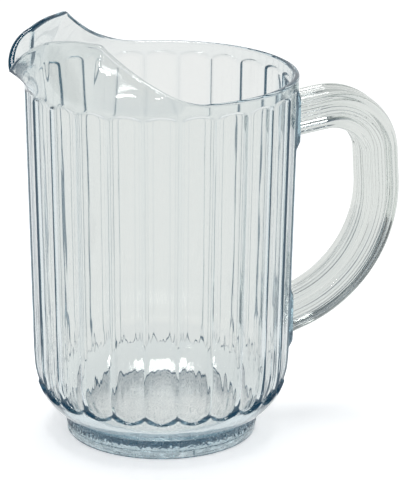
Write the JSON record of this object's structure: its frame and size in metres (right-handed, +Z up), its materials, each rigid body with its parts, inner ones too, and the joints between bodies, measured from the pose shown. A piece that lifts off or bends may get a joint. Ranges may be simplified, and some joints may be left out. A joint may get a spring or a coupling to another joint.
{
  "type": "beer pitcher",
  "caption": "Clear fluted plastic pitcher with a pinched pouring spout, a ribbed loop handle and a foot ring, for serving drinks at a table.",
  "frame": {"origin": "middle of the foot ring, on the table", "axes": "+Z up, +X towards the handle, -X towards the spout"},
  "size_m": [0.1943, 0.132, 0.205],
  "materials": {
    "clear_body": "clear moulded polycarbonate, polished, with a faint blue tint",
    "clear_handle": "clear moulded polycarbonate, polished, ribbed along its length",
    "stippled_foot": "clear moulded polycarbonate, polished, with a granular stipple on its upper half"
  },
  "bodies": {
    "root": {"pitcher_body": "clear_body", "handle": "clear_handle", "foot_ring": "stippled_foot"}
  },
  "joints": []
}
